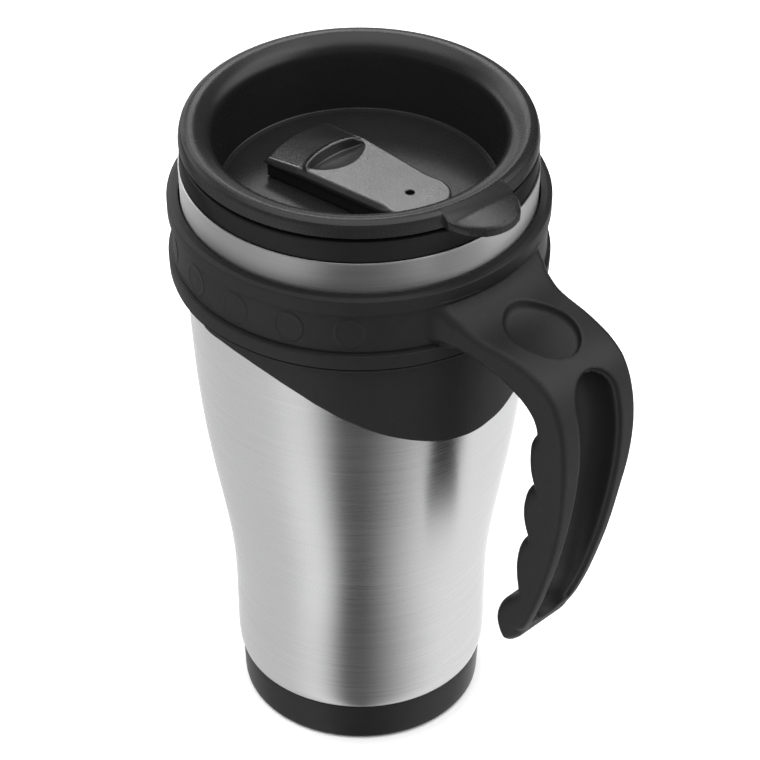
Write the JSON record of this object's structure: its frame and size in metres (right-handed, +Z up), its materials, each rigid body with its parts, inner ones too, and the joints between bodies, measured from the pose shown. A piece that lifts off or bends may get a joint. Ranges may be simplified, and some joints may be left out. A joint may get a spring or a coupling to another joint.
{
  "type": "insulated travel mug",
  "caption": "Insulated travel mug: flared steel jacket over a plastic liner, plug-in base, moulded collar with finger-grip handle, and a press-on lid with a thumb slide.",
  "frame": {"origin": "centre of the flat underside of the base, on the mug's axis", "axes": "+Z up along the mug's axis, +X towards the handle, +Y completes the right-handed frame"},
  "size_m": [0.1232, 0.0908, 0.1679],
  "materials": {
    "jacket_steel": "fine circumferential brushing",
    "base_plastic": "satin black moulded plastic",
    "liner_plastic": "satin black food-grade plastic",
    "handle_plastic": "fine spark-eroded matte black",
    "lid_plastic": "soft satin black",
    "gasket_rubber": "silicone, semi-matte",
    "slide_plastic": "grained matte black",
    "seal_rubber": "silicone, semi-matte",
    "clip_plastic": "plain moulded"
  },
  "bodies": {
    "mug": {"outer_shell": "jacket_steel", "inner_liner": "liner_plastic", "base_cap": "base_plastic", "handle_collar": "handle_plastic"},
    "lid": {"lid_body": "lid_plastic", "lid_gasket": "gasket_rubber"},
    "slide": {"slider": "slide_plastic", "slider_seal": "seal_rubber", "slider_clip": "clip_plastic"}
  },
  "joints": [
    {"name": "lid_lift", "type": "slide", "parent": "mug", "child": "lid", "axis": [0, 0, 1], "range_m": [0, 0.05]},
    {"name": "slide_open", "type": "slide", "parent": "lid", "child": "slide", "axis": [0.9989, 0.0471, 0], "range_m": [0, 0.008]}
  ]
}
